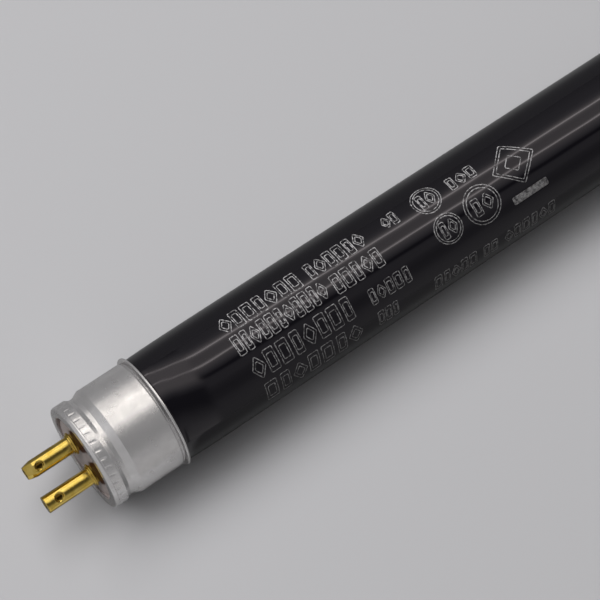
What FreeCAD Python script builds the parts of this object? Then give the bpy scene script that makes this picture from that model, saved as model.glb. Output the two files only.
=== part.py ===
import FreeCAD, Part
import Sketcher
import os

# Ultraviolet black light lamp: a slim glass discharge tube with a two pin base at each end.
# The lamp lies along X with its centre at the origin, and the two pins of a base lie along Y.
# A base's depths are measured from its rim plane in towards the glass, in millimetres.

SIZES = {
    # Glass tube
    "face_span": 288.0,
    "tube_radius": 7.75,
    "waist_length": 6.15,
    "waist_sink": 0.05,
    "waist_bend_radius": 1.0,
    "neck_sink": 0.67,
    "shoulder_length": 1.15,
    "shoulder_past_cap": 0.1,
    "seal_length": 1.0,
    "seal_sink": 0.98,
    "end_wall": 1.2,
    "end_gap": 2.1,
    "stem_length": 8.8,
    "stem_foot_radius": 3.0,
    "exhaust_radius": 1.3,
    "exhaust_tip_radius": 0.35,
    "exhaust_tip_length": 1.4,
    "exhaust_tip_inset": 1.0,
    # Aluminium cap
    "cap_wall": 0.3,
    "bend_offset": 0.1,
    "rim_width": 1.36,
    "bead_radius": 0.5,
    "ring_sink": 0.15,
    "ring_past_disc": 0.15,
    "slope_length": 0.55,
    "groove_length": 0.65,
    "groove_sink": 0.34,
    "taper_length": 0.95,
    "crease_rise": 0.07,
    "crease_length": 0.4,
    "skirt_length": 5.4,
    "hollow_length": 0.45,
    "hollow_sink": 0.07,
    "flare_length": 0.7,
    "lip_length": 0.3,
    "lip_clearance": 0.16,
    "edge_radius": 0.08,
    # Ring of staking dents round the cap
    "dent_count": 38,
    "dent_length": 1.0,
    "dent_width": 0.45,
    "dent_sink": 0.13,
    "dent_ramp": 0.2,
    "dent_inset": 0.2,
    # Insulating disc
    "disc_rim_length": 1.5,
    "disc_chamfer_length": 0.3,
    # Hollow contact pins
    "pin_spacing": 4.75,
    "pin_radius": 1.175,
    "pin_wall": 0.375,
    "pin_reach": 7.15,
    "pin_taper_length": 1.15,
    "pin_taper_sink": 0.195,
    "pin_tip_wall": 0.48,
    "pin_mouth_length": 0.7,
    "pin_step_length": 0.25,
    "pin_step_rise": 0.205,
    "pin_collar_length": 0.25,
    "pin_collar_rise": 0.22,
    "pin_shank_rise": 0.125,
    "pin_rivet_rise": 0.5,
    "pin_rivet_thickness": 0.3,
    "pin_facet_count": 8,
    "pin_facet_sink": 0.12,
    "punch_from_tip": 1.95,
    "punch_radius": 0.55,
    "punch_rise": 0.125,
    "stake_radius": 0.45,
    "stake_cover": 0.175,
    # Lead wires
    "wire_radius": 0.25,
    "wire_foot_offset": 2.1,
    "wire_foot_length": 3.0,
    "wire_set_length": 4.0,
    "wire_inset": 0.6,
    # Basing cement
    "cement_thickness": 0.29,
    "cement_inset": 0.1,
    "cement_end_gap": 0.5,
}

# Depths along a base, each following from the one before it

DISC_FRONT = "Size.cap_wall"
DISC_SEAT = DISC_FRONT + " + Size.disc_rim_length"
DISC_BACK = DISC_SEAT + " + Size.disc_chamfer_length"
RING_END = DISC_SEAT + " + Size.ring_past_disc"
GROOVE_START = RING_END + " + Size.slope_length"
GROOVE_END = GROOVE_START + " + Size.groove_length"
CREASE = GROOVE_END + " + Size.taper_length"
SKIRT_START = CREASE + " + Size.crease_length"
SKIRT_END = SKIRT_START + " + Size.skirt_length"
HOLLOW = SKIRT_END + " + Size.hollow_length"
LIP_START = HOLLOW + " + Size.flare_length"
CAP_END = LIP_START + " + Size.lip_length"
GLASS_END = DISC_BACK + " + Size.end_gap"
GLASS_NECK = GLASS_END + " + Size.seal_length"
GLASS_WAIST = CAP_END + " + Size.shoulder_past_cap"
GLASS_SHOULDER = GLASS_WAIST + " - Size.shoulder_length"
GLASS_FULL = GLASS_WAIST + " + Size.waist_length"
STEM_FOOT = GLASS_END + " + Size.stem_length"
EXHAUST_TIP = GLASS_END + " + Size.exhaust_tip_inset"
EXHAUST_FULL = EXHAUST_TIP + " + Size.exhaust_tip_length"

# Radii, those of the base worked out from the glass tube's

WAIST_RADIUS = "Size.tube_radius - Size.waist_sink"
NECK_RADIUS = "Size.tube_radius - Size.neck_sink"
GLASS_END_RADIUS = NECK_RADIUS + " - Size.seal_sink"
STEM_MOUTH_RADIUS = GLASS_END_RADIUS + " - Size.end_wall"
SKIRT_INSIDE = NECK_RADIUS + " + Size.cement_thickness"
SKIRT_RADIUS = SKIRT_INSIDE + " + Size.cap_wall"
CREASE_RADIUS = SKIRT_RADIUS + " + Size.crease_rise"
HOLLOW_INSIDE = SKIRT_INSIDE + " - Size.hollow_sink"
HOLLOW_RADIUS = HOLLOW_INSIDE + " + Size.cap_wall"
LIP_INSIDE = WAIST_RADIUS + " + Size.lip_clearance"
LIP_RADIUS = LIP_INSIDE + " + Size.cap_wall"
RING_RADIUS = SKIRT_RADIUS + " - Size.ring_sink"
RING_INSIDE = RING_RADIUS + " - Size.cap_wall"
GROOVE_RADIUS = RING_RADIUS + " - Size.groove_sink"
GROOVE_INSIDE = GROOVE_RADIUS + " - Size.cap_wall"
OPENING_RADIUS = RING_RADIUS + " - Size.rim_width"
PIN_TIP = "Size.pin_radius - Size.pin_taper_sink"
PIN_STEP = "Size.pin_radius + Size.pin_step_rise"
PIN_SHANK = "Size.pin_radius + Size.pin_shank_rise"
PIN_BORE = "Size.pin_radius - Size.pin_wall"

doc = FreeCAD.newDocument("black_light_lamp")
sheet = doc.addObject("Spreadsheet::Sheet", "Size")
for row, (alias, value) in enumerate(SIZES.items(), start=1):
    sheet.set("A%d" % row, alias)
    sheet.set("B%d" % row, str(value))
    sheet.setAlias("B%d" % row, alias)
doc.recompute()

# Helpers


def value_of(text):
    """Work out an expression on the sheet's sizes as a plain number."""
    return float(sheet.evalExpression(text))


def new_body(label):
    body = doc.addObject("PartDesign::Body", label)
    body.Label = label
    return body


def origin_feature(body, role):
    return next(feature for feature in body.Origin.OriginFeatures if feature.Role == role)


def new_sketch(body, name, plane="XY_Plane"):
    sketch = body.newObject("Sketcher::SketchObject", name)
    sketch.AttachmentSupport = [(origin_feature(body, plane), "")]
    sketch.MapMode = "FlatFace"
    return sketch


def hold(sketch, kind, text, *points):
    """Give a sketch a dimension that follows the sheet."""
    row = sketch.addConstraint(Sketcher.Constraint(kind, *points, value_of(text)))
    sketch.setExpression("Constraints[%d]" % row, text)


def hold_corner(sketch, line, x_text, y_text):
    """Hold a line's start at a place given by two expressions, '0' being on that axis."""
    if x_text == "0":
        sketch.addConstraint(Sketcher.Constraint("PointOnObject", line, 1, -2))
    else:
        hold(sketch, "DistanceX", x_text, -1, 1, line, 1)
    if y_text == "0":
        sketch.addConstraint(Sketcher.Constraint("PointOnObject", line, 1, -1))
    else:
        hold(sketch, "DistanceY", y_text, -1, 1, line, 1)


def closed_profile(body, name, corners):
    """Sketch a closed outline of straight sides through corners given as expressions."""
    sketch = new_sketch(body, name)
    places = [FreeCAD.Vector(value_of(x), value_of(y), 0) for x, y in corners]
    for start, end in zip(places, places[1:] + places[:1]):
        sketch.addGeometry(Part.LineSegment(start, end), False)
    last = len(corners) - 1
    for line, (x_text, y_text) in enumerate(corners):
        before = last if line == 0 else line - 1
        sketch.addConstraint(Sketcher.Constraint("Coincident", before, 2, line, 1))
        hold_corner(sketch, line, x_text, y_text)
    return sketch


def turned_solid(body, name, corners):
    """Turn a profile of (along, radius) corners once round the X axis."""
    sketch = closed_profile(body, name + "_profile", corners)
    turned = body.newObject("PartDesign::Revolution", name)
    turned.Profile = sketch
    turned.ReferenceAxis = (sketch, ["H_Axis"])
    turned.Angle = 360
    doc.recompute()
    return turned


def rings_at(feature, places):
    """Name the round edges whose ends lie at (along, radius) places given as expressions."""
    wanted = [(value_of(x), value_of(r)) for x, r in places]
    names = []
    for number, edge in enumerate(feature.Shape.Edges, start=1):
        point = edge.Vertexes[0].Point
        ends_meet = edge.isClosed()
        radius = (point.y ** 2 + point.z ** 2) ** 0.5
        if ends_meet and any(abs(point.x - x) + abs(radius - r) < 0.01 for x, r in wanted):
            names.append("Edge%d" % number)
    if len(names) != len(places):
        raise ValueError("%s: %d of %d edges found" % (feature.Label, len(names), len(places)))
    return names


def rounded(body, name, radius_text, places):
    """Round the edges at the given places of the body's last feature."""
    last = body.Tip
    fillet = body.newObject("PartDesign::Fillet", name)
    fillet.Base = (last, rings_at(last, places))
    fillet.Radius = value_of(radius_text)
    fillet.setExpression("Radius", radius_text)
    doc.recompute()
    return fillet


def flat_cut(body, name, sketch, width_text):
    """Cut a profile through the body's surface, to half the width on each side of the sketch."""
    cut = body.newObject("PartDesign::Pocket", name)
    cut.Profile = sketch
    cut.SideType = "Symmetric"
    cut.Length = value_of(width_text)
    cut.setExpression("Length", width_text)
    doc.recompute()
    return cut


def ring_of(body, name, cut, count_text):
    """Repeat a cut round the X axis."""
    pattern = body.newObject("PartDesign::PolarPattern", name)
    pattern.Originals = [cut]
    pattern.Axis = (origin_feature(body, "X_Axis"), [""])
    pattern.Angle = 360
    pattern.Occurrences = int(value_of(count_text))
    pattern.setExpression("Occurrences", count_text)
    body.Tip = pattern
    doc.recompute()
    return pattern


def place(body, x_text, y_text="0", rotation=FreeCAD.Rotation()):
    body.Placement = FreeCAD.Placement(FreeCAD.Vector(), rotation)
    body.setExpression("Placement.Base.x", x_text)
    body.setExpression("Placement.Base.y", y_text)


# Glass tube: one sealed solid with a drawn in neck and a re-entrant stem at each end


def glass_tube():
    end = [
        (EXHAUST_TIP, "0"),
        (EXHAUST_TIP, "Size.exhaust_tip_radius"),
        (EXHAUST_FULL, "Size.exhaust_radius"),
        (STEM_FOOT, "Size.exhaust_radius"),
        (STEM_FOOT, "Size.stem_foot_radius"),
        (GLASS_END, STEM_MOUTH_RADIUS),
        (GLASS_END, GLASS_END_RADIUS),
        (GLASS_NECK, NECK_RADIUS),
        (GLASS_SHOULDER, NECK_RADIUS),
        (GLASS_WAIST, WAIST_RADIUS),
        (GLASS_FULL, "Size.tube_radius"),
    ]
    far_end = [("Size.face_span - (%s)" % depth, radius) for depth, radius in reversed(end)]
    far_waist = ("Size.face_span - (%s)" % GLASS_WAIST, WAIST_RADIUS)
    body = new_body("glass_tube")
    turned_solid(body, "tube", end + far_end)
    rounded(body, "waist_bend", "Size.waist_bend_radius", [(GLASS_WAIST, WAIST_RADIUS), far_waist])
    place(body, "-Size.face_span / 2")
    return body


# Cap: a thin aluminium shell with a turned in rim, a staked ring, a groove, a skirt and a flared lip


def cap(label):
    body = new_body(label)
    turned_solid(body, "shell", [
        ("0", OPENING_RADIUS),
        ("0", RING_RADIUS),
        (RING_END, RING_RADIUS),
        (GROOVE_START, GROOVE_RADIUS),
        (GROOVE_END, GROOVE_RADIUS),
        (CREASE, CREASE_RADIUS),
        (SKIRT_START, SKIRT_RADIUS),
        (SKIRT_END, SKIRT_RADIUS),
        (HOLLOW, HOLLOW_RADIUS),
        (LIP_START, LIP_RADIUS),
        (CAP_END, LIP_RADIUS),
        (CAP_END, LIP_INSIDE),
        (LIP_START + " + Size.bend_offset", LIP_INSIDE),
        (HOLLOW + " + Size.bend_offset", HOLLOW_INSIDE),
        (SKIRT_END, SKIRT_INSIDE),
        (SKIRT_START, SKIRT_INSIDE),
        (GROOVE_END + " + Size.bend_offset", GROOVE_INSIDE),
        (GROOVE_START, GROOVE_INSIDE),
        (DISC_SEAT, RING_INSIDE),
        (DISC_FRONT, RING_INSIDE),
        (DISC_FRONT, OPENING_RADIUS),
    ])
    rounded(body, "bead", "Size.bead_radius", [("0", RING_RADIUS)])
    rounded(body, "lip_edge", "Size.edge_radius", [(CAP_END, LIP_RADIUS)])
    staking_dents(body)
    return body


def staking_dents(body):
    """Press a ring of short flat dents with sloping ends into the cap's front ring."""
    end = "%s - Size.dent_inset" % RING_END
    start = "%s - Size.dent_length" % end
    low = "%s - Size.dent_sink" % RING_RADIUS
    high = "%s + Size.dent_sink" % RING_RADIUS
    sketch = closed_profile(body, "dent_profile", [
        (start, high),
        (start + " + Size.dent_ramp", low),
        (end + " - Size.dent_ramp", low),
        (end, high),
    ])
    dent = flat_cut(body, "dent", sketch, "Size.dent_width")
    ring_of(body, "dents", dent, "Size.dent_count")


# Disc: the insulating plate that the cap is staked round, with a hole for each pin


def disc(label):
    seat_slope = "Size.groove_sink / (Size.ring_past_disc + Size.slope_length)"
    back_radius = "%s - Size.disc_chamfer_length * %s" % (RING_INSIDE, seat_slope)
    body = new_body(label)
    turned_solid(body, "plate", [
        (DISC_FRONT, "0"),
        (DISC_FRONT, RING_INSIDE),
        (DISC_SEAT, RING_INSIDE),
        (DISC_BACK, back_radius),
        (DISC_BACK, "0"),
    ])
    sketch = new_sketch(body, "pin_hole_circles", "YZ_Plane")
    for circle, side in enumerate((1, -1)):
        centre = FreeCAD.Vector(side * value_of("Size.pin_spacing / 2"), 0, 0)
        sketch.addGeometry(Part.Circle(centre, FreeCAD.Vector(0, 0, 1), value_of(PIN_SHANK)), False)
        sketch.addConstraint(Sketcher.Constraint("PointOnObject", circle, 3, -1))
        hold(sketch, "Radius", PIN_SHANK, circle)
        hold(sketch, "DistanceX", "%d * Size.pin_spacing / 2" % side, -1, 1, circle, 3)
    holes = body.newObject("PartDesign::Pocket", "pin_holes")
    holes.Profile = sketch
    holes.Type = "ThroughAll"
    holes.SideType = "Symmetric"
    doc.recompute()
    return body


# Pin: a hollow brass tube with a stepped collar, riveted behind the disc and punched on to its wire
# It is drawn from its tip at x = 0, so a depth in the base is that much more than the pin's reach


def from_tip(depth):
    return "Size.pin_reach + " + depth


def pin(label):
    collar_start = "Size.pin_reach - Size.pin_collar_length"
    step_start = collar_start + " - Size.pin_step_length"
    rivet_end = from_tip(DISC_BACK) + " + Size.pin_rivet_thickness"
    body = new_body(label)
    turned_solid(body, "hollow_pin", [
        ("0", PIN_TIP + " - Size.pin_tip_wall"),
        ("0", PIN_TIP),
        ("Size.pin_taper_length", "Size.pin_radius"),
        (step_start, "Size.pin_radius"),
        (step_start, PIN_STEP),
        (collar_start, PIN_STEP),
        (collar_start, PIN_STEP + " + Size.pin_collar_rise"),
        ("Size.pin_reach", PIN_STEP + " + Size.pin_collar_rise"),
        ("Size.pin_reach", PIN_SHANK),
        (from_tip(DISC_BACK), PIN_SHANK),
        (from_tip(DISC_BACK), PIN_SHANK + " + Size.pin_rivet_rise"),
        (rivet_end, PIN_SHANK + " + Size.pin_rivet_rise"),
        (rivet_end, PIN_SHANK),
        (from_tip(DISC_BACK), PIN_BORE),
        ("Size.pin_mouth_length", PIN_BORE),
    ])
    tip_facets(body)
    stake(body)
    return body


def tip_facets(body):
    """Press flats round the tapered tip."""
    sketch = closed_profile(body, "facet_profile", [
        ("0", PIN_TIP + " - Size.pin_facet_sink"),
        ("Size.pin_taper_length", "Size.pin_radius"),
        ("0", "Size.pin_radius"),
    ])
    facet = flat_cut(body, "facet", sketch, "2 * Size.pin_radius")
    ring_of(body, "facets", facet, "Size.pin_facet_count")


def stake(body):
    """Punch the pin's wall in from above until it bears on the wire in the bore."""
    stake_top = "Size.pin_radius - Size.stake_cover"
    punched_in = body.newObject("PartDesign::AdditiveCylinder", "punched_in_wall")
    punched_in.setExpression("Radius", "Size.stake_radius")
    punched_in.setExpression("Height", stake_top + " - Size.wire_radius")
    dimple = body.newObject("PartDesign::SubtractiveSphere", "punch_mark")
    dimple.setExpression("Radius", "Size.punch_radius")
    heights = ((punched_in, "Size.wire_radius"), (dimple, "Size.pin_radius + Size.punch_rise"))
    for feature, height in heights:
        feature.AttachmentSupport = [(origin_feature(body, "XY_Plane"), "")]
        feature.MapMode = "FlatFace"
        feature.setExpression("AttachmentOffset.Base.x", "Size.punch_from_tip")
        feature.setExpression("AttachmentOffset.Base.z", height)
    doc.recompute()


# Lead wire: from the foot of the glass stem, with a slight set, into the bore of its pin


def lead_wire(label):
    foot = from_tip(STEM_FOOT)
    set_end = foot + " - Size.wire_foot_length"
    set_start = set_end + " - Size.wire_set_length"
    high = "Size.pin_spacing / 2"
    low = "Size.wire_foot_offset"
    path_points = [("Size.wire_inset", high), (set_start, high), (set_end, low), (foot, low)]
    body = new_body(label)
    path = new_sketch(body, "wire_path")
    places = [FreeCAD.Vector(value_of(x), value_of(y), 0) for x, y in path_points]
    for line, (start, end) in enumerate(zip(places, places[1:])):
        path.addGeometry(Part.LineSegment(start, end), False)
        if line > 0:
            path.addConstraint(Sketcher.Constraint("Coincident", line - 1, 2, line, 1))
        hold_corner(path, line, *path_points[line])
    path.addConstraint(Sketcher.Constraint("Horizontal", line))
    hold(path, "DistanceX", foot, -1, 1, line, 2)
    section = new_sketch(body, "wire_section", "YZ_Plane")
    section.setExpression("AttachmentOffset.Base.z", "Size.wire_inset")
    centre = FreeCAD.Vector(value_of(high), 0, 0)
    section.addGeometry(Part.Circle(centre, FreeCAD.Vector(0, 0, 1), value_of("Size.wire_radius")), False)
    section.addConstraint(Sketcher.Constraint("PointOnObject", 0, 3, -1))
    hold(section, "DistanceX", high, -1, 1, 0, 3)
    hold(section, "Radius", "Size.wire_radius", 0)
    wire = body.newObject("PartDesign::AdditivePipe", "wire")
    wire.Profile = section
    wire.Spine = (path, ["Edge1", "Edge2", "Edge3"])
    wire.Transition = "Right corner"
    doc.recompute()
    return body


# Cement: the ring that bonds the glass neck into the cap's skirt


def cement(label):
    start = GLASS_NECK + " + Size.cement_inset"
    end = GLASS_SHOULDER + " - Size.cement_end_gap"
    body = new_body(label)
    turned_solid(body, "ring", [
        (start, NECK_RADIUS),
        (start, SKIRT_INSIDE),
        (end, SKIRT_INSIDE),
        (end, NECK_RADIUS),
    ])
    return body


# The two bases, the right one turned half round


def base(side, outward):
    """Build one base, outward being -1 at the left end and +1 at the right end."""
    half_turn = FreeCAD.Rotation(FreeCAD.Vector(0, 0, 1), 180)
    over = FreeCAD.Rotation(FreeCAD.Vector(1, 0, 0), 180)
    as_drawn = FreeCAD.Rotation()
    facing = as_drawn if outward < 0 else half_turn
    rim_plane = "%d * Size.face_span / 2" % outward
    tip_plane = "%d * (Size.face_span / 2 + Size.pin_reach)" % outward
    pieces = [cap("cap_" + side), disc("disc_" + side), cement("cement_" + side)]
    for piece in pieces:
        place(piece, rim_plane, rotation=facing)
    for row, across in (("front", -1), ("back", 1)):
        contact = pin("pin_%s_%s" % (side, row))
        place(contact, tip_plane, "%d * Size.pin_spacing / 2" % across, facing)
        wire = lead_wire("wire_%s_%s" % (side, row))
        turned_over = as_drawn if across == -outward else over
        place(wire, tip_plane, rotation=facing.multiply(turned_over))
        pieces += [contact, wire]
    return pieces


pieces = [glass_tube()] + base("left", -1) + base("right", 1)
doc.recompute()

for item in doc.Objects:
    if "Invalid" in item.State or "Error" in item.State:
        raise RuntimeError("%s failed: %s" % (item.Label, item.State))
for piece in pieces:
    if piece.Shape.isNull() or not piece.Shape.isValid() or len(piece.Shape.Solids) != 1:
        raise RuntimeError("%s is not one valid solid" % piece.Label)

os.makedirs("parts", exist_ok=True)
for piece in pieces:
    piece.Shape.exportStep("parts/%s.step" % piece.Label)
    box = piece.Shape.BoundBox
    print("%-16s %9.2f mm3  x %8.2f to %8.2f" % (piece.Label, piece.Shape.Volume, box.XMin, box.XMax))
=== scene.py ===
import math

import bmesh
import bpy
from mathutils import Euler, Matrix, Vector

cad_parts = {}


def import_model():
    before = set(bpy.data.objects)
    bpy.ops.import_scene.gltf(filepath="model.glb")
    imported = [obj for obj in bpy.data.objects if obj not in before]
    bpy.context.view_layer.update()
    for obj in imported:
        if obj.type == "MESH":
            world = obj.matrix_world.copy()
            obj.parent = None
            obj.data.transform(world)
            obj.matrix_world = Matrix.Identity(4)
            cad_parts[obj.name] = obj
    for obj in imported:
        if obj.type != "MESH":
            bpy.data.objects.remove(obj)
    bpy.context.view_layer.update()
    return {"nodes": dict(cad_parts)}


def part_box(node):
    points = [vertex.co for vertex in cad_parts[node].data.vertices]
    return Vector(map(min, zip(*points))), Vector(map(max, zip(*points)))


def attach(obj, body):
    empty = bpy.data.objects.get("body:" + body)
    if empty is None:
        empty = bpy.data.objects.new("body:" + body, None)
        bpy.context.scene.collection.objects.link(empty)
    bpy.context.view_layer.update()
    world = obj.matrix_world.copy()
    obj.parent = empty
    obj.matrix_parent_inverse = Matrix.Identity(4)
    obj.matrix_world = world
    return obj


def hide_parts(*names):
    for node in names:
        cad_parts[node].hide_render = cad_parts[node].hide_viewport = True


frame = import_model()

# Sizes in millimetres. A depth runs from a base's rim plane in towards the glass

MM = 0.001
RIM_X = -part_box("cap_left")[0][0] / MM
PIN_TIP_X = -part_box("pin_left_front")[0][0] / MM
LIP_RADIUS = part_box("cap_left")[1][2] / MM

TUBE_RADIUS = 7.75
WAIST_DROP = 0.11
WAIST_END_DEPTH = 18
NECK_RADIUS = 7.08
CAP_WALL = 0.3
LIP_DEPTH = 11.18
RING_RADIUS = 7.52
SKIRT_RADIUS = 7.67
GROOVE_RADIUS = 7.18
OPENING_RADIUS = 6.16
BEAD_DEPTH = 0.62
LIP_X = RIM_X - LIP_DEPTH
DENT_COUNT = 38

DISC_GROOVE_DEPTH = 0.62
DISC_GROOVE_RADIUS = 5.72
DISC_SEAT_DEPTH = 1.8
DISC_BACK_DEPTH = 2.1
DISC_BACK_RADIUS = 7.07

PIN_SPACING = 4.75
PIN_RADIUS = 1.175
PIN_BORE = 0.8
PIN_REACH = PIN_TIP_X - RIM_X
PIN_STEP_RADIUS = 1.38
PIN_STEP_LENGTH = 0.25
PIN_COLLAR_RADIUS = 1.6
PIN_COLLAR_LENGTH = 0.25
PIN_SHANK_RADIUS = 1.3
RIVET_RADIUS = 1.8
RIVET_THICKNESS = 0.3
TAPERED_TIP_RADIUS = 0.98
TIP_FLATS = 8
TIP_FLAT_LENGTH = 1.15
TIP_FLAT_APOTHEM = 0.86
PUNCH_FROM_TIP = 1.95
PUNCH_RADIUS = 0.5
PUNCH_EDGE_RADIUS = 0.68
PUNCH_SINK = 0.3
SLOPE_LENGTH = PUNCH_FROM_TIP - 0.4
SLOPE_SINK = 0.05
SLOPE_FALL = 0.1
PIN_MARKS_LENGTH = 3

# The two small folds before the lip: depth, radius, and the share of colour left where painted shade darkens
# them on the highlit side

LIP_FOLDS = (
    (10.34, SKIRT_RADIUS, 1.0),
    (10.4, 7.5, 0.65),
    (10.47, 7.5, 0.65),
    (10.52, 7.66, 1.0),
    (10.6, 7.66, 1.0),
    (10.67, 7.4, 0.45),
    (10.79, 7.4, 0.45),
)
FOLDS_END_DEPTH = 10.86

# Helpers


def bent(corners, closed=False):
    """Turn (along, radius, bend) corners into points, each corner rounded to its bend radius.

    A point beside each bend on a long side keeps that side's smooth shading straight.
    """
    points = []
    last = len(corners) - 1
    for number, (x, y, bend) in enumerate(corners):
        corner = Vector((x, y))
        on_end = not closed and number in (0, last)
        if bend == 0 or on_end:
            points.append(corner)
            continue
        before = Vector(corners[number - 1][:2]) - corner
        after = Vector(corners[(number + 1) % len(corners)][:2]) - corner
        half_angle = before.angle(after) / 2
        reach = min(bend / math.tan(half_angle), 0.49 * before.length, 0.49 * after.length)
        start = corner + before.normalized() * reach
        end = corner + after.normalized() * reach
        steps = 3 if bend < 0.15 else 8
        if before.length > 5 * reach:
            points.append(corner + before.normalized() * reach * 1.3)
        for step in range(steps + 1):
            t = step / steps
            points.append(start * (1 - t) ** 2 + corner * 2 * t * (1 - t) + end * t ** 2)
        if after.length > 5 * reach:
            points.append(corner + after.normalized() * reach * 1.3)
    return points


def even_turns(count):
    return [2 * math.pi * step / count for step in range(count)]


def lathe(name, outline, turns, closed):
    """Turn an outline of (x, radius) points in millimetres round the X axis into a closed mesh."""
    mesh = bmesh.new()
    rings = []
    for x, radius in outline:
        if radius < 1e-6:
            rings.append([mesh.verts.new((x * MM, 0, 0))])
            continue
        ring = [(x, radius * math.cos(turn), radius * math.sin(turn)) for turn in turns]
        rings.append([mesh.verts.new(Vector(place) * MM) for place in ring])
    pairs = list(zip(rings, rings[1:]))
    if closed:
        pairs.append((rings[-1], rings[0]))
    for near, far in pairs:
        for step in range(len(turns)):
            following = (step + 1) % len(turns)
            if len(near) == 1:
                mesh.faces.new((near[0], far[step], far[following]))
            elif len(far) == 1:
                mesh.faces.new((near[step], far[0], near[following]))
            else:
                mesh.faces.new((near[step], far[step], far[following], near[following]))
    bmesh.ops.recalc_face_normals(mesh, faces=mesh.faces)
    return finished(name, mesh)


def finished(name, mesh):
    """Make an object of a mesh, smooth but for its sharp edges."""
    for face in mesh.faces:
        face.smooth = True
    for edge in mesh.edges:
        edge.smooth = edge.calc_face_angle(0) < math.radians(35)
    data = bpy.data.meshes.new(name)
    mesh.to_mesh(data)
    mesh.free()
    piece = bpy.data.objects.new(name, data)
    bpy.context.collection.objects.link(piece)
    return piece


def stands_for(piece, node, material):
    """Let a piece take a CAD node's place."""
    piece.data.materials.clear()
    piece.data.materials.append(material)
    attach(piece, "root")
    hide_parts(node)


def shaped_by(piece, tree, values):
    """Run a Geometry Nodes tree on a piece with the named values, and keep the plain mesh it makes."""
    modifier = piece.modifiers.new("shape", "NODES")
    modifier.node_group = tree
    for socket in tree.interface.items_tree:
        if socket.name in values:
            modifier[socket.identifier] = values[socket.name]
    graph = bpy.context.evaluated_depsgraph_get()
    shaped = bpy.data.meshes.new_from_object(piece.evaluated_get(graph))
    piece.modifiers.remove(modifier)
    piece.data = shaped


def grey(level):
    return (level, level, level, 1)


def smoothly(low, high, value):
    share = min(max((value - low) / (high - low), 0.0), 1.0)
    return share * share * (3 - 2 * share)


class Nodes:
    """A short way to write a node tree."""

    def __init__(self, tree):
        self.tree = tree

    def add(self, kind, inputs=(), **settings):
        node = self.tree.nodes.new(kind)
        for name, value in settings.items():
            setattr(node, name, value)
        for socket, value in dict(inputs).items():
            if isinstance(value, bpy.types.NodeSocket):
                self.tree.links.new(value, node.inputs[socket])
            else:
                node.inputs[socket].default_value = value
        return node

    def math(self, operation, first, second=0.0, third=0.0):
        node = self.add("ShaderNodeMath", {0: first, 1: second, 2: third}, operation=operation)
        return node.outputs[0]

    def ramp(self, value, stops, interpolation="LINEAR"):
        node = self.add("ShaderNodeValToRGB", {0: value})
        ramp = node.color_ramp
        ramp.interpolation = interpolation
        while len(ramp.elements) > 1:
            ramp.elements.remove(ramp.elements[-1])
        for number, (place, level) in enumerate(stops):
            element = ramp.elements[0] if number == 0 else ramp.elements.new(place)
            element.position = place
            colour = level if isinstance(level, tuple) else (level, level, level)
            element.color = (*colour, 1)
        return node.outputs[0]

    def step(self, value, low, high):
        """Rise smoothly from 0 to 1 as the value goes from low to high."""
        node = self.add("ShaderNodeMapRange", {0: value, 1: low, 2: high}, interpolation_type="SMOOTHSTEP")
        return node.outputs[0]

    def mix(self, share, first, second):
        """Blend from the first colour to the second by a share from 0 to 1."""
        node = self.add("ShaderNodeMix", {"Factor": share, "A": first, "B": second}, data_type="RGBA")
        return node.outputs["Result"]

    def link(self, output, node, socket):
        self.tree.links.new(output, node.inputs[socket])


def shape_tree(name, sizes):
    """A Geometry Nodes tree that takes a shape and the named sizes, with its start and its sizes."""
    tree = bpy.data.node_groups.new(name, "GeometryNodeTree")
    tree.interface.new_socket("Geometry", in_out="INPUT", socket_type="NodeSocketGeometry")
    for size in sizes:
        tree.interface.new_socket(size, in_out="INPUT", socket_type="NodeSocketFloat")
    tree.interface.new_socket("Finish", in_out="INPUT", socket_type="NodeSocketMaterial")
    tree.interface.new_socket("Geometry", in_out="OUTPUT", socket_type="NodeSocketGeometry")
    nodes = Nodes(tree)
    return nodes, nodes.add("NodeGroupInput").outputs


def finish_tree(nodes, shape, material):
    plain = nodes.add("GeometryNodeRealizeInstances", {"Geometry": shape}).outputs[0]
    dressed = nodes.add("GeometryNodeSetMaterial", {"Geometry": plain, "Material": material}).outputs[0]
    nodes.add("NodeGroupOutput", {0: dressed})
    return nodes.tree


def new_material(name):
    """A Principled material, with its tree, its shader and the object's own coordinates."""
    material = bpy.data.materials.new(name)
    material.use_nodes = True
    nodes = Nodes(material.node_tree)
    shader = material.node_tree.nodes["Principled BSDF"]
    place = nodes.add("ShaderNodeTexCoord").outputs["Object"]
    return material, nodes, shader, place


# Materials


def black_glass():
    """Nearly black filter glass, polished, with a faint drawn unevenness."""
    material, nodes, shader, place = new_material("black_glass")
    stretched = nodes.add("ShaderNodeMapping", {"Vector": place, "Scale": (60, 260, 260)}).outputs[0]
    drawn = nodes.add("ShaderNodeTexNoise", {"Vector": stretched, "Scale": 1.0, "Detail": 1.5})
    bump = nodes.add("ShaderNodeBump", {"Height": drawn.outputs[0], "Strength": 0.05, "Distance": 0.001})
    nodes.link(bump.outputs[0], shader, "Normal")
    shader.inputs["Base Color"].default_value = (0.003, 0.0027, 0.004, 1)
    shader.inputs["Roughness"].default_value = 0.05
    shader.inputs["IOR"].default_value = 1.45
    shader.inputs["Specular Tint"].default_value = (0.97, 0.92, 1, 1)
    return material


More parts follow.
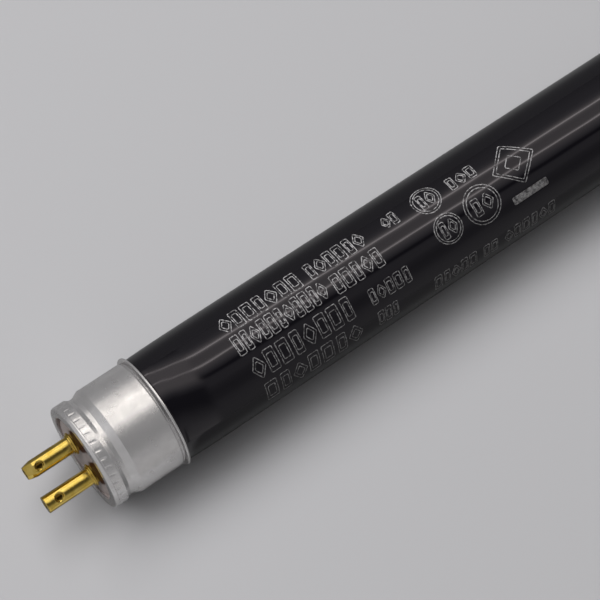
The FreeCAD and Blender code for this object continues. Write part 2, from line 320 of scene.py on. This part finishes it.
def satin_aluminium():
    """Satin metal, with painted shade in the two folds behind the lip on the highlit side."""
    material, nodes, shader, place = new_material("satin_aluminium")
    shader.inputs["Metallic"].default_value = 0.84
    cloud = nodes.add("ShaderNodeTexNoise", {"Vector": place, "Scale": 700.0, "Detail": 4.0})
    clean = nodes.ramp(cloud.outputs[0], [(0.3, (0.635, 0.62, 0.625)), (0.7, (0.705, 0.69, 0.695))])
    x, y, _ = nodes.add("ShaderNodeSeparateXYZ", {0: place}).outputs
    ramp_depth = 20
    from_middle = nodes.math("MULTIPLY", nodes.math("ABSOLUTE", x), 1 / (ramp_depth * MM))
    depth = nodes.math("SUBTRACT", RIM_X / ramp_depth, from_middle)
    stops = [(fold_depth / ramp_depth, level) for fold_depth, _, level in LIP_FOLDS]
    painted_fold_shade = nodes.ramp(depth, stops + [(FOLDS_END_DEPTH / ramp_depth, 1.0)])
    # Painted shade: the folds are darkened only on the side where the ceiling's highlight falls
    above = nodes.step(y, -2.5 * MM, 0.5 * MM)
    below = nodes.step(y, 6.5 * MM, 4.5 * MM)
    highlit_side = nodes.math("MULTIPLY", above, below)
    shade = nodes.mix(highlit_side, grey(1), painted_fold_shade)
    colour = nodes.add("ShaderNodeVectorMath", {0: clean, 1: shade}, operation="MULTIPLY")
    nodes.link(colour.outputs[0], shader, "Base Color")
    roughness = nodes.ramp(cloud.outputs[0], [(0.3, 0.28), (0.7, 0.22)])
    nodes.link(roughness, shader, "Roughness")
    drawn = nodes.add("ShaderNodeTexNoise", {"Vector": place, "Scale": 330.0, "Detail": 2.0})
    grain = nodes.add("ShaderNodeTexNoise", {"Vector": place, "Scale": 4000.0, "Detail": 3.0})
    height = nodes.math("MULTIPLY_ADD", grain.outputs[0], 0.06, drawn.outputs[0])
    bump = nodes.add("ShaderNodeBump", {"Height": height, "Strength": 0.12, "Distance": 0.0001})
    nodes.link(bump.outputs[0], shader, "Normal")
    return material


def polished_brass():
    """Polished brass, with painted shade in the punch marks."""
    material, nodes, shader, place = new_material("polished_brass")
    shader.inputs["Metallic"].default_value = 1
    cloud = nodes.add("ShaderNodeTexNoise", {"Vector": place, "Scale": 900.0, "Detail": 4.0})
    clean = nodes.ramp(cloud.outputs[0], [(0.3, (0.66, 0.46, 0.085)), (0.7, (0.78, 0.58, 0.16))])
    from_middle = nodes.add("ShaderNodeVectorMath", {0: place}, operation="ABSOLUTE").outputs[0]
    punch = ((PIN_TIP_X - PUNCH_FROM_TIP) * MM, PIN_SPACING / 2 * MM, PIN_RADIUS * MM)
    from_punch = nodes.add("ShaderNodeVectorMath", {0: from_middle, 1: punch}, operation="DISTANCE")
    # Painted shade: the brass is darkened inside each punch mark, where the hole lies in shade
    punch_shade = nodes.step(from_punch.outputs["Value"], 0.62 * MM, PUNCH_RADIUS * MM)
    nodes.link(nodes.mix(punch_shade, clean, (0.13, 0.075, 0.012, 1)), shader, "Base Color")
    dent = nodes.add("ShaderNodeTexNoise", {"Vector": place, "Scale": 1100.0, "Detail": 2.0})
    bump = nodes.add("ShaderNodeBump", {"Height": dent.outputs[0], "Strength": 0.14, "Distance": 0.0001})
    nodes.link(bump.outputs[0], shader, "Normal")
    shader.inputs["Roughness"].default_value = 0.13
    return material


def phenolic():
    """Dull fibre board, with painted shadow and dark reflection above each pin."""
    material, nodes, shader, place = new_material("phenolic")
    fibre = nodes.add("ShaderNodeTexNoise", {"Vector": place, "Scale": 1500.0, "Detail": 5.0})
    clean = nodes.ramp(fibre.outputs[0], [(0.3, (0.29, 0.245, 0.238)), (0.7, (0.36, 0.31, 0.30))])
    _, y, z = nodes.add("ShaderNodeSeparateXYZ", {0: place}).outputs
    # Painted shadow and reflection: the disc is darker and less glossy in a band above each pin, where the
    # pins shade it
    past_pin = nodes.math("SUBTRACT", nodes.math("ABSOLUTE", y), PIN_SPACING / 2 * MM)
    in_line = nodes.step(nodes.math("ABSOLUTE", past_pin), 1.9 * MM, 1.5 * MM)
    painted_pin_shadow = nodes.math("MULTIPLY", in_line, nodes.step(z, 0.2 * MM, 0.8 * MM))
    nodes.link(nodes.mix(painted_pin_shadow, clean, (0.042, 0.013, 0.006, 1)), shader, "Base Color")
    nodes.link(nodes.math("MULTIPLY_ADD", painted_pin_shadow, -0.38, 0.4), shader, "Specular IOR Level")
    shader.inputs["Roughness"].default_value = 0.34
    return material


def basing_cement():
    material, nodes, shader, place = new_material("basing_cement")
    lump = nodes.add("ShaderNodeTexNoise", {"Vector": place, "Scale": 1200.0, "Detail": 6.0})
    colour = nodes.ramp(lump.outputs[0], [(0.3, (0.30, 0.23, 0.15)), (0.7, (0.42, 0.33, 0.23))])
    nodes.link(colour, shader, "Base Color")
    bump = nodes.add("ShaderNodeBump", {"Height": lump.outputs[0], "Strength": 0.4, "Distance": 0.0001})
    nodes.link(bump.outputs[0], shader, "Normal")
    shader.inputs["Roughness"].default_value = 0.9
    return material


def lead_wire():
    material, nodes, shader, place = new_material("lead_wire")
    shader.inputs["Metallic"].default_value = 1
    streak = nodes.add("ShaderNodeTexNoise", {"Vector": place, "Scale": 2500.0, "Detail": 2.0})
    colour = nodes.ramp(streak.outputs[0], [(0.3, (0.50, 0.46, 0.42)), (0.7, (0.62, 0.58, 0.54))])
    nodes.link(colour, shader, "Base Color")
    shader.inputs["Roughness"].default_value = 0.35
    return material


def print_ink():
    """Thin pale ink, broken where it has worn."""
    material, nodes, shader, place = new_material("print_ink")
    worn = nodes.add("ShaderNodeTexNoise", {"Vector": place, "Scale": 2600.0, "Detail": 3.0})
    ink = nodes.ramp(worn.outputs[0], [(0.36, (0.04, 0.038, 0.04)), (0.62, (0.40, 0.39, 0.395))])
    # The ink is darker towards the tube's −Y side
    across = nodes.math("MULTIPLY_ADD", nodes.add("ShaderNodeSeparateXYZ", {0: place}).outputs[1], 60.0, 0.5)
    sideways_level = nodes.ramp(across, [(0.1, 0.4), (0.45, 0.5), (0.6, 0.95), (0.8, 1.0)])
    colour = nodes.add("ShaderNodeVectorMath", {0: ink, 1: sideways_level}, operation="MULTIPLY")
    nodes.link(colour.outputs[0], shader, "Base Color")
    shader.inputs["Roughness"].default_value = 0.55
    return material


BLACK_GLASS = black_glass()
ALUMINIUM = satin_aluminium()
BRASS = polished_brass()
PHENOLIC = phenolic()
CEMENT = basing_cement()
WIRE = lead_wire()
PRINT_INK = print_ink()

# Glass tube


def glass_tube():
    end = [
        (5.2, 0.0, 0),
        (5.2, 0.35, 0.1),
        (6.6, 1.3, 0.5),
        (13.0, 1.3, 0.3),
        (13.0, 3.0, 0.3),
        (4.2, 4.9, 0.3),
        (4.2, 6.1, 0.3),
        (5.2, NECK_RADIUS, 0.6),
        (10.3, NECK_RADIUS, 0.8),
        (11.3, TUBE_RADIUS - WAIST_DROP - 0.02, 0.5),
    ]
    waist_steps = 13
    for step in range(waist_steps, -1, -1):
        drop = WAIST_DROP * (step / waist_steps) ** 2
        end.append((WAIST_END_DEPTH - 0.5 * step, TUBE_RADIUS - drop, 0))
    left = [(depth - RIM_X, radius, bend) for depth, radius, bend in end]
    right = [(-x, radius, bend) for x, radius, bend in reversed(left)]
    tube = lathe("glass", bent(left + right), even_turns(256), closed=False)
    stands_for(tube, "glass_tube", BLACK_GLASS)
    return tube


# Cap, disc and pins of one base


def staked_ring_tree():
    """Press narrow staking dents, closed at their outer end, into the ring behind the cap's bead."""
    sizes = ("Count", "Radius", "Rim", "Start", "End", "Width", "Sink", "Hook")
    nodes, given = shape_tree("staked_ring", sizes)
    place = nodes.add("GeometryNodeInputPosition").outputs[0]
    x, y, z = nodes.add("ShaderNodeSeparateXYZ", {0: place}).outputs
    turn = nodes.math("ARCTAN2", y, z)
    pitch = nodes.math("DIVIDE", 2 * math.pi, given["Count"])
    within = nodes.math("FRACT", nodes.math("ADD", nodes.math("DIVIDE", turn, pitch), 100.0))
    angle = nodes.math("MULTIPLY", nodes.math("SUBTRACT", within, 0.5), pitch)
    depth = nodes.math("SUBTRACT", given["Rim"], nodes.math("ABSOLUTE", x))
    opens = nodes.step(depth, given["Start"], nodes.math("ADD", given["Start"], given["Width"]))
    closes = nodes.step(depth, given["End"], nodes.math("MULTIPLY", given["Start"], 1.7))
    hook = nodes.math("MULTIPLY", nodes.step(depth, given["Start"], given["End"]), given["Hook"])
    aside = nodes.math("MULTIPLY_ADD", angle, given["Radius"], hook)
    across = nodes.math("DIVIDE", aside, given["Width"])
    notch = nodes.math("EXPONENT", nodes.math("MULTIPLY", nodes.math("MULTIPLY", across, across), -1.0))
    outward = nodes.add("ShaderNodeCombineXYZ", {1: y, 2: z}).outputs[0]
    radius = nodes.add("ShaderNodeVectorMath", {0: outward}, operation="LENGTH").outputs["Value"]
    outside = nodes.step(radius, nodes.math("MULTIPLY", given["Radius"], 0.97), given["Radius"])
    along = nodes.math("MULTIPLY", nodes.math("MULTIPLY", opens, closes), outside)
    press = nodes.math("MULTIPLY", nodes.math("MULTIPLY", along, notch), given["Sink"])
    away = nodes.add("ShaderNodeVectorMath", {0: outward}, operation="NORMALIZE").outputs[0]
    offset = nodes.add("ShaderNodeVectorMath", {0: away, "Scale": nodes.math("MULTIPLY", press, -1.0)},
                       operation="SCALE").outputs[0]
    pressed = nodes.add("GeometryNodeSetPosition", {"Geometry": given["Geometry"], "Offset": offset})
    return finish_tree(nodes, pressed.outputs[0], given["Finish"])


STAKED_RING = staked_ring_tree()


def dent_turns():
    """Angles round the ring, close together at each dent and wide apart between them."""
    pitch = 2 * math.pi / DENT_COUNT
    half = 8
    shares = [0.5 + 0.5 * math.copysign((abs(step) / half) ** 1.5, step) for step in range(-half, half)]
    return [pitch * (number + share) for number in range(DENT_COUNT) for share in shares]


def cap(side, sign):
    ring = [(0.72 + 0.08 * step, RING_RADIUS, 0) for step in range(15)]
    folds = [(depth, radius, 0.03) for depth, radius, _ in LIP_FOLDS]
    corners = [
        (0.0, OPENING_RADIUS, 0.06),
        (0.0, RING_RADIUS - 0.1, 0.6),
        (0.45, RING_RADIUS, 0.2),
        (BEAD_DEPTH, RING_RADIUS, 0.04),
        (BEAD_DEPTH + 0.05, RING_RADIUS - 0.05, 0.03),
    ] + ring + [
        (1.93, RING_RADIUS, 0.12),
        (2.5, GROOVE_RADIUS, 0.12),
        (3.1, GROOVE_RADIUS, 0.06),
        (4.1, SKIRT_RADIUS, 0.12),
    ] + folds + [
        (10.88, LIP_RADIUS - 0.03, 0.05),
        (10.96, LIP_RADIUS, 0.06),
        (LIP_DEPTH, LIP_RADIUS, 0.08),
        (LIP_DEPTH, LIP_RADIUS - CAP_WALL, 0.08),
        (11.0, LIP_RADIUS - CAP_WALL, 0),
        (10.8, 7.3, 0),
        (10.4, 7.25, 0),
        (9.9, SKIRT_RADIUS - CAP_WALL, 0),
        (4.5, SKIRT_RADIUS - CAP_WALL, 0),
        (3.25, GROOVE_RADIUS - CAP_WALL, 0),
        (2.5, GROOVE_RADIUS - CAP_WALL, 0),
        (DISC_SEAT_DEPTH, RING_RADIUS - CAP_WALL, 0),
        (CAP_WALL, RING_RADIUS - CAP_WALL, 0),
        (CAP_WALL, OPENING_RADIUS, 0.04),
    ]
    outline = [(sign * (RIM_X - depth), radius) for depth, radius in bent(corners, closed=True)]
    shell = lathe("cap_shell_" + side, outline, dent_turns(), closed=True)
    shaped_by(shell, STAKED_RING, {
        "Count": float(DENT_COUNT),
        "Radius": RING_RADIUS * MM,
        "Rim": RIM_X * MM,
        "Start": (BEAD_DEPTH + 0.02) * MM,
        "End": 1.75 * MM,
        "Width": 0.085 * MM,
        "Sink": 0.1 * MM,
        "Hook": 0.12 * MM,
        "Finish": ALUMINIUM,
    })
    stands_for(shell, "cap_" + side, ALUMINIUM)
    return shell


def disc(side, sign):
    corners = [
        (CAP_WALL, 0.0, 0),
        (CAP_WALL, DISC_GROOVE_RADIUS - 0.12, 0.1),
        (DISC_GROOVE_DEPTH, DISC_GROOVE_RADIUS, 0.08),
        (DISC_GROOVE_DEPTH, OPENING_RADIUS, 0.03),
        (CAP_WALL, OPENING_RADIUS + 0.03, 0.03),
        (CAP_WALL, RING_RADIUS - CAP_WALL, 0.1),
        (DISC_SEAT_DEPTH, RING_RADIUS - CAP_WALL, 0.1),
        (DISC_BACK_DEPTH, DISC_BACK_RADIUS, 0.1),
        (DISC_BACK_DEPTH, 0.0, 0),
    ]
    outline = [(sign * (RIM_X - depth), radius) for depth, radius in bent(corners)]
    plate = lathe("insulator_" + side, outline, even_turns(128), closed=False)
    stands_for(plate, "disc_" + side, PHENOLIC)
    return plate


def punched(piece, flats):
    """Press a pin's tip flats, the sloping flat on its top side and the round punch mark into it."""
    for vertex in piece.data.vertices:
        x, y, z = vertex.co / MM
        depth = PIN_TIP_X - abs(x)
        radius = math.hypot(y, z)
        if radius < PIN_BORE + 0.05 or depth > PIN_MARKS_LENGTH:
            continue
        turn = math.atan2(y, z)
        if flats and depth < TIP_FLAT_LENGTH:
            apothem = TIP_FLAT_APOTHEM + (PIN_RADIUS - TIP_FLAT_APOTHEM) * depth / TIP_FLAT_LENGTH
            off_flat = (turn + math.pi / flats) % (2 * math.pi / flats) - math.pi / flats
            radius = min(radius, apothem / math.cos(off_flat))
        reach = math.hypot(depth - PUNCH_FROM_TIP, PIN_RADIUS * turn)
        radius -= PUNCH_SINK * (1 - smoothly(PUNCH_RADIUS, PUNCH_EDGE_RADIUS, reach))
        y = radius * math.sin(turn)
        z = radius * math.cos(turn)
        if flats and depth < SLOPE_LENGTH:
            z = min(z, PIN_RADIUS - SLOPE_SINK - SLOPE_FALL * (SLOPE_LENGTH - depth))
        vertex.co = Vector((x, y, z)) * MM


def pin(side, sign, row, across):
    """A hollow pin, its outline running from the tip to the rivet and back along the bore."""
    tapered = row == "back"
    tip = TAPERED_TIP_RADIUS if tapered else PIN_RADIUS + 0.02
    swell = ((0.3, 0.27), (0.6, 0.53), (0.9, 0.78))
    taper = [(depth, tip + (PIN_RADIUS - tip) * share, 0) for depth, share in swell]
    rings = [(1.2 + 0.06 * number, PIN_RADIUS, 0) for number in range(31)]
    collar = PIN_REACH - PIN_COLLAR_LENGTH
    step = collar - PIN_STEP_LENGTH
    back = PIN_REACH + DISC_BACK_DEPTH
    rivet = back + RIVET_THICKNESS
    corners = [(0.0, 0.5, 0.05), (0.0, tip, 0.06)] + taper + rings + [
        (step, PIN_RADIUS, 0.06),
        (step + 0.03, PIN_STEP_RADIUS, 0.06),
        (collar, PIN_STEP_RADIUS, 0.04),
        (collar, PIN_COLLAR_RADIUS, 0.07),
        (PIN_REACH, PIN_COLLAR_RADIUS, 0.05),
        (PIN_REACH, PIN_SHANK_RADIUS, 0.05),
        (back, PIN_SHANK_RADIUS, 0),
        (back, RIVET_RADIUS, 0.05),
        (rivet, RIVET_RADIUS, 0.05),
        (rivet, PIN_SHANK_RADIUS, 0.05),
        (back, PIN_BORE, 0.05),
        (0.7, PIN_BORE, 0.1),
    ]
    outline = [(sign * (PIN_TIP_X - depth), radius) for depth, radius in bent(corners, closed=True)]
    contact = lathe("contact_%s_%s" % (side, row), outline, even_turns(96), closed=True)
    punched(contact, TIP_FLATS if tapered else 0)
    contact.data.transform(Matrix.Translation((0, across * PIN_SPACING / 2 * MM, 0)))
    stands_for(contact, "pin_%s_%s" % (side, row), BRASS)
    return contact


# Print on the glass: rows of blank frames

LOZENGE, CIRCLE, BAR = range(3)

# The frames of a row take turns: kind, and width as a share of the frame's place

FRAME_TURNS = ((BAR, 0.72), (LOZENGE, 1.0), (BAR, 0.6), (BAR, 0.78))

# Rows: depth where each starts and ends, its low and high angle in degrees, and its number of frames

PRINT_ROWS = (
    (22.8, 35.4, 27.5, 50, 7),
    (36.4, 45.8, 27, 49, 6),
    (22.8, 37.4, 3, 26, 11),
    (38.2, 46.3, 1, 23, 5),
    (23.2, 39.4, -28, -1, 8),
    (41.6, 48.6, -28, -9, 5),
    (23.6, 39.4, -58, -32, 7),
    (41.9, 45.5, -57, -36, 3),
    (48.9, 51.4, 29, 46, 2),
    (59.4, 64.2, 26, 42, 3),
    (51.3, 58.7, -61, -40, 5),
    (59.6, 62.3, -60, -42, 2),
    (63.4, 72.4, -61, -41, 6),
)

# Round frames: depth, angle in degrees and width across

ROUND_FRAMES = ((55.9, 34.2, 4.2), (56.1, -2.7, 4.2), (62.0, -1.1, 5.5))


def print_tree():
    """Draw a lozenge, a round frame or a bar at each point of a flat layout, and wrap it on the glass."""
    nodes, given = shape_tree("printed_frames", ("Radius", "Stroke", "Film"))
    lozenge = nodes.add("GeometryNodeCurvePrimitiveCircle", {"Resolution": 4, "Radius": 0.5})
    circle = nodes.add("GeometryNodeCurvePrimitiveCircle", {"Resolution": 20, "Radius": 0.5})
    bar = nodes.add("GeometryNodeCurvePrimitiveQuadrilateral", {"Width": 1.0, "Height": 1.0})
    size, kind = [
        nodes.add("GeometryNodeInputNamedAttribute", {"Name": name}, data_type=data_type).outputs[0]
        for name, data_type in (("size", "FLOAT_VECTOR"), ("kind", "INT"))]
    drawn = []
    for number, curve in enumerate((lozenge, circle, bar)):
        chosen = nodes.add("FunctionNodeCompare", {2: kind, 3: number},
                           data_type="INT", operation="EQUAL").outputs[0]
        frames = nodes.add("GeometryNodeInstanceOnPoints", {
            "Points": given["Geometry"], "Selection": chosen, "Instance": curve.outputs[0], "Scale": size})
        lines = nodes.add("GeometryNodeRealizeInstances", {"Geometry": frames.outputs[0]}).outputs[0]
        rounding = {"Curve": lines, "Radius": 0.1 * MM, "Limit Radius": True}
        soft = nodes.add("GeometryNodeFilletCurve", rounding).outputs[0]
        spacing = {"Curve": soft, "Length": 0.18 * MM}
        drawn.append(nodes.add("GeometryNodeResampleCurve", spacing, mode="LENGTH").outputs[0])
    joined = nodes.add("GeometryNodeJoinGeometry")
    for lines in drawn:
        nodes.link(lines, joined, 0)
    upright = nodes.add("GeometryNodeSetCurveNormal", {"Curve": joined.outputs[0]}, mode="Z_UP")
    section = nodes.add("GeometryNodeCurvePrimitiveQuadrilateral",
                        {"Width": given["Stroke"], "Height": given["Film"]})
    strokes = nodes.add("GeometryNodeCurveToMesh",
                        {"Curve": upright.outputs[0], "Profile Curve": section.outputs[0]})
    place = nodes.add("GeometryNodeInputPosition").outputs[0]
    x, y, z = nodes.add("ShaderNodeSeparateXYZ", {0: place}).outputs
    turn = nodes.math("DIVIDE", y, given["Radius"])
    height = nodes.math("ADD", given["Radius"], z)
    wrapped = nodes.add("ShaderNodeCombineXYZ", {
        0: x,
        1: nodes.math("MULTIPLY", height, nodes.math("SINE", turn)),
        2: nodes.math("MULTIPLY", height, nodes.math("COSINE", turn)),
    }).outputs[0]
    on_glass = nodes.add("GeometryNodeSetPosition", {"Geometry": strokes.outputs[0], "Position": wrapped})
    return finish_tree(nodes, on_glass.outputs[0], given["Finish"])


def row_of_frames(start, end, low, high, count, first):
    """Lay blank frames side by side in a row, one inside another, from the first one's turn on."""
    pitch = (end - start) / count
    middle = math.radians(low + high) / 2 * TUBE_RADIUS
    tall = math.radians(high - low) * TUBE_RADIUS
    frames = []
    for step in range(count):
        place = start + (step + 0.5) * pitch
        kind, wide = FRAME_TURNS[(first + step * 3) % len(FRAME_TURNS)]
        for nested in (1.0, 0.6):
            frames.append((place, middle, pitch * wide * nested, 0.9 * tall * nested, kind))
    return frames


def printing():
    frames = []
    for number, row in enumerate(PRINT_ROWS):
        frames += row_of_frames(*row, number + 1)
    for depth, angle, across in ROUND_FRAMES:
        for share in (1.0, 0.84):
            frames.append((depth, math.radians(angle) * TUBE_RADIUS, across * share, across * share, CIRCLE))
        inside = 0.33 * across
        frames += row_of_frames(depth - inside, depth + inside, angle - 10, angle + 10, 2, 14)
    for share in (1.0, 0.84, 0.4):
        frames.append((69.0, math.radians(17) * TUBE_RADIUS, 7.0 * share, 6.4 * share, LOZENGE))
    for line in range(4):
        frames.append((69.1, math.radians(-17) * TUBE_RADIUS, 5.8 - 0.3 * line, 1.0 - 0.3 * line, BAR))
    mesh = bpy.data.meshes.new("printing")
    mesh.from_pydata([((depth - RIM_X) * MM, along * MM, 0) for depth, along, *_ in frames], [], [])
    sizes = [value * MM for _, _, wide, tall, _ in frames for value in (wide, tall, 1)]
    mesh.attributes.new("size", "FLOAT_VECTOR", "POINT").data.foreach_set("vector", sizes)
    kinds = [kind for *_, kind in frames]
    mesh.attributes.new("kind", "INT", "POINT").data.foreach_set("value", kinds)
    piece = bpy.data.objects.new("printed_frames", mesh)
    bpy.context.collection.objects.link(piece)
    shaped_by(piece, print_tree(), {
        "Radius": TUBE_RADIUS * MM,
        "Stroke": 0.13 * MM,
        "Film": 0.02 * MM,
        "Finish": PRINT_INK,
    })
    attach(piece, "root")


glass_tube()
for side, sign in (("left", -1), ("right", 1)):
    cap(side, sign)
    disc(side, sign)
    for row, across in (("front", -1), ("back", 1)):
        pin(side, sign, row, across)
printing()

# CAD pieces that stay, hidden inside the bases

for node, item in frame["nodes"].items():
    if node.startswith("cement"):
        item.data.materials.clear()
        item.data.materials.append(CEMENT)
    if node.startswith("wire"):
        item.data.materials.clear()
        item.data.materials.append(WIRE)

# Floor


def floor():
    """A pale floor, with other levels across it for what glass and metal mirror than for the camera: a
    painted reflection, darker near the lamp and beside the pins.
    """
    material, nodes, shader, place = new_material("pale_floor")
    x, y, _ = nodes.add("ShaderNodeSeparateXYZ", {0: place}).outputs
    # Painted reflection levels: what glass and metal mirror near the lamp is darker than the floor the
    # camera sees
    base_levels = [
        (-1.0, 0.9), (-0.1, 0.55), (-0.05, 0.5), (-0.033, 0.42), (-0.022, 0.35), (0.0, 0.35), (0.02, 0.12),
    ]
    glass_levels = [
        (-1.0, 0.6), (-0.4, 0.35), (-0.1, 0.22), (-0.06, 0.19), (-0.01, 0.14), (0.0, 0.15),
        (0.012, 0.26), (0.024, 0.16), (0.06, 0.19),
    ]
    across = nodes.math("MULTIPLY_ADD", y, 0.5, 0.5)
    by_base, by_glass = [
        nodes.ramp(across, [(0.5 + metres / 2, level) for metres, level in levels])
        for levels in (base_levels, glass_levels)]
    slanted = nodes.math("MULTIPLY_ADD", y, 0.18, x)
    past_lip = nodes.step(slanted, (-LIP_X - 2) * MM, (-LIP_X + 1) * MM)
    # Painted shade in reflections: the mirrored floor is darker beside the pins
    by_pins = nodes.math("MULTIPLY", nodes.step(x, -RIM_X * MM, (-RIM_X - 2) * MM),
                         nodes.step(y, -24 * MM, -12 * MM))
    mirrored = nodes.mix(by_pins, nodes.mix(past_lip, by_base, by_glass), grey(0.15))
    seen = nodes.add("ShaderNodeLightPath").outputs["Is Glossy Ray"]
    nodes.link(nodes.mix(seen, (0.458, 0.454, 0.466, 1), mirrored), shader, "Base Color")
    shader.inputs["Roughness"].default_value = 0.8
    shader.inputs["Specular IOR Level"].default_value = 0.1
    half = 3.0
    top = (-LIP_RADIUS - 0.02) * MM
    mesh = bpy.data.meshes.new("floor")
    corners = [(-half, -half, top), (half, -half, top), (half, half, top), (-half, half, top)]
    mesh.from_pydata(corners, [], [(0, 1, 2, 3)])
    mesh.materials.append(material)
    plane = bpy.data.objects.new("floor", mesh)
    bpy.context.collection.objects.link(plane)


floor()

# Lights


# What polished pieces mirror. Each ceiling is (lean in degrees, level), with two long fittings in it

FAR_CEILING = (
    (-90, 0.27), (-75, 0.33), (-62, 0.34), (-50, 0.3), (-40, 0.2), (-30, 0.17), (-20, 0.22),
    (-13, 0.32), (-2, 0.32), (1.5, 0.22), (3, 0.05), (7.5, 0.05), (9, 0.2), (14, 0.45), (20, 0.75),
    (25, 1.0), (27.2, 2.0), (28, 5.0), (29, 5.0), (30, 2.0), (33, 1.05), (44, 0.95), (50, 1.1),
    (53.5, 1.8), (54.8, 5.0), (55.8, 5.0), (57.5, 1.8), (61, 1.0), (66, 0.55), (74, 0.36),
    (85, 0.3), (101, 0.2),
)
NEAR_CEILING = (
    (-103, 0.6), (-80, 0.5), (-66, 0.36), (-44, 0.12), (-35, 0.07), (-14, 0.07), (-7, 0.3), (2, 0.85),
    (10, 1.25), (27, 1.3), (28, 3.5), (29, 3.5), (30, 1.3), (53.5, 1.25), (55, 3.5), (56, 3.5),
    (57.5, 1.0), (66, 0.6), (75, 0.3), (85, 0.1), (95, 0.03),
)
END_WALL = ((-0.76, 0.42), (-0.26, 0.3), (0.0, 0.38), (0.34, 0.58), (0.66, 0.62), (0.84, 0.35))
SIDE_BY_PINS = 0.25
CEILING_OVER_END = 0.42

# The fittings' bend along the lamp: how far the direction points along it, and the share of the swing.
# They start at one angle in degrees and swing round by the other

FITTING_BEND = (
    (0.14, 0.0), (0.15, 0.05), (0.165, 0.21), (0.19, 0.36), (0.201, 0.44), (0.228, 0.56), (0.45, 0.92),
)
FITTING_START = -22
FITTING_SWING = 40

# Where the room's parts meet, from and to, by how far the direction points along the lamp.
# The side by the pins also starts by its lean in degrees

NEAR_TO_FAR = (0.198, 0.212)
PIN_SIDE_STARTS = (0.15, 0.138)
PIN_SIDE_ENDS = (0.1, 0.12)
PIN_SIDE_LEAN = (-44, -66)
OVER_END_STARTS = (0.04, -0.06)
END_WALL_STARTS = (-0.45, -0.65)

# A ramp's colours stop at 1, so levels are divided by this and the background's strength restores them

BRIGHTEST = 8.0


def ceiling_colour(level):
    """A ceiling level as a ramp's colour, cream where it is bright."""
    cream = min(level, 1.0) ** 2
    level /= BRIGHTEST
    return (level, level * (1 - 0.04 * cream), level * (1 - 0.1 * cream))


def world():
    """A plain room for light, and for glossy rays a ceiling, a dimmer side by the pins and an end wall."""
    scene = bpy.context.scene
    scene.world = bpy.data.worlds.new("room")
    scene.world.use_nodes = True
    nodes = Nodes(scene.world.node_tree)
    nodes.tree.nodes.clear()
    direction = nodes.add("ShaderNodeTexCoord").outputs["Generated"]
    along, sideways, up = nodes.add("ShaderNodeSeparateXYZ", {0: direction}).outputs
    lean = nodes.math("ARCTAN2", sideways, up)
    bend = nodes.ramp(along, FITTING_BEND)
    drift = nodes.math("MULTIPLY_ADD", bend, math.radians(FITTING_SWING), math.radians(FITTING_START))
    turn = nodes.math("MULTIPLY_ADD", nodes.math("ADD", lean, drift), 0.5 / math.pi, 0.5)
    far_part, near_part = [
        nodes.ramp(turn, [(0.5 + angle / 360, ceiling_colour(level)) for angle, level in levels])
        for levels in (FAR_CEILING, NEAR_CEILING)]
    ceiling = nodes.mix(nodes.step(along, *NEAR_TO_FAR), near_part, far_part)
    starts, ends = nodes.step(along, *PIN_SIDE_STARTS), nodes.step(along, *PIN_SIDE_ENDS)
    low = nodes.step(lean, *[math.radians(angle) for angle in PIN_SIDE_LEAN])
    beside_pins = nodes.math("MULTIPLY", nodes.math("MULTIPLY", starts, ends), low)
    room = nodes.mix(beside_pins, ceiling, grey(SIDE_BY_PINS / BRIGHTEST))
    room = nodes.mix(nodes.step(along, *OVER_END_STARTS), room, grey(CEILING_OVER_END / BRIGHTEST))
    end_wall = nodes.ramp(nodes.math("MULTIPLY_ADD", sideways, 0.5, 0.5),
                          [(0.5 + place / 2, level / BRIGHTEST) for place, level in END_WALL])
    room = nodes.mix(nodes.step(along, *END_WALL_STARTS), room, end_wall)
    seen = nodes.add("ShaderNodeLightPath").outputs
    plain = nodes.add("ShaderNodeBackground", {"Color": (0.5, 0.5, 0.505, 1), "Strength": 0.16})
    pale = nodes.add("ShaderNodeBackground", {"Color": (0.62, 0.62, 0.63, 1), "Strength": 1.0})
    shiny = nodes.add("ShaderNodeBackground", {"Color": room, "Strength": BRIGHTEST})
    not_camera = nodes.add("ShaderNodeMixShader", {
        0: seen["Is Glossy Ray"],
        1: plain.outputs[0],
        2: shiny.outputs[0],
    })
    mixed = nodes.add("ShaderNodeMixShader", {
        0: seen["Is Camera Ray"],
        1: not_camera.outputs[0],
        2: pale.outputs[0],
    })
    nodes.add("ShaderNodeOutputWorld", {"Surface": mixed.outputs[0]})


def soft_light(name, place, width, depth, watts):
    """A soft light aimed at the lamp's middle, which only lights and shades."""
    light = bpy.data.lights.new(name, "AREA")
    light.shape = "RECTANGLE"
    light.size = width
    light.size_y = depth
    light.energy = watts
    panel = bpy.data.objects.new(name, light)
    panel.location = place
    panel.rotation_euler = (-Vector(place)).to_track_quat("-Z", "Y").to_euler()
    panel.visible_glossy = False
    bpy.context.collection.objects.link(panel)


world()
soft_light("key", (-0.35, 0.94, 1.29), 1.6, 0.58, 22.5)
soft_light("fill", (-0.35, 0.52, 1.51), 1.6, 0.42, 6.5)
soft_light("end", (-0.85, 0.66, 0.95), 0.8, 0.6, 5.6)

# Camera


def camera():
    """The photograph's view: from above, a little beyond the near base, turned so the lamp runs up right."""
    scene = bpy.context.scene
    data = bpy.data.cameras.new("camera")
    focal_pixels = 1900
    picture_pixels = 600
    data.sensor_width = 36
    data.lens = data.sensor_width * focal_pixels / picture_pixels
    data.clip_start = 0.01
    view = bpy.data.objects.new("camera", data)
    view.location = (-0.17945, 0.02463, 0.24123)
    view.rotation_euler = Euler([math.radians(angle) for angle in (4.472, -16.653, -33.063)], "XYZ")
    bpy.context.collection.objects.link(view)
    scene.camera = view
    scene.view_settings.view_transform = "Standard"


camera()
